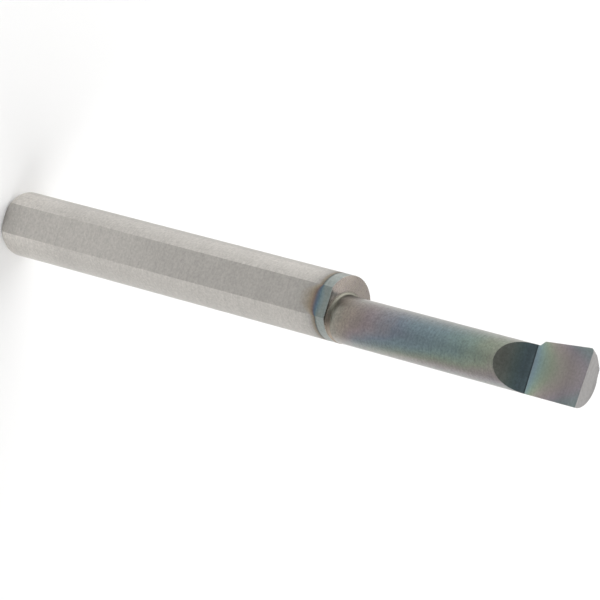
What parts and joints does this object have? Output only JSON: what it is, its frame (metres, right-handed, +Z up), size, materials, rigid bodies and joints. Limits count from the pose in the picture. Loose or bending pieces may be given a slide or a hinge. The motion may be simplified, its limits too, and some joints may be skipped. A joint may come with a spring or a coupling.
{
  "type": "boring bar",
  "caption": "Solid carbide boring bar with a round shank, a locating flat along it, a slim offset neck and a ground cutting head in front of a swept chip gullet.",
  "frame": {"origin": "centre of the rear face, on the axis of the round shank", "axes": "+Z up along the shank to the cutting end, with the bar standing on its rear face; the locating flat and the rake face look towards -Y, and the nose points towards -X"},
  "size_m": [0.0064, 0.006, 0.0709],
  "materials": {
    "coated_carbide": "satin"
  },
  "bodies": {
    "root": {"boring_bar": "coated_carbide"}
  },
  "joints": []
}
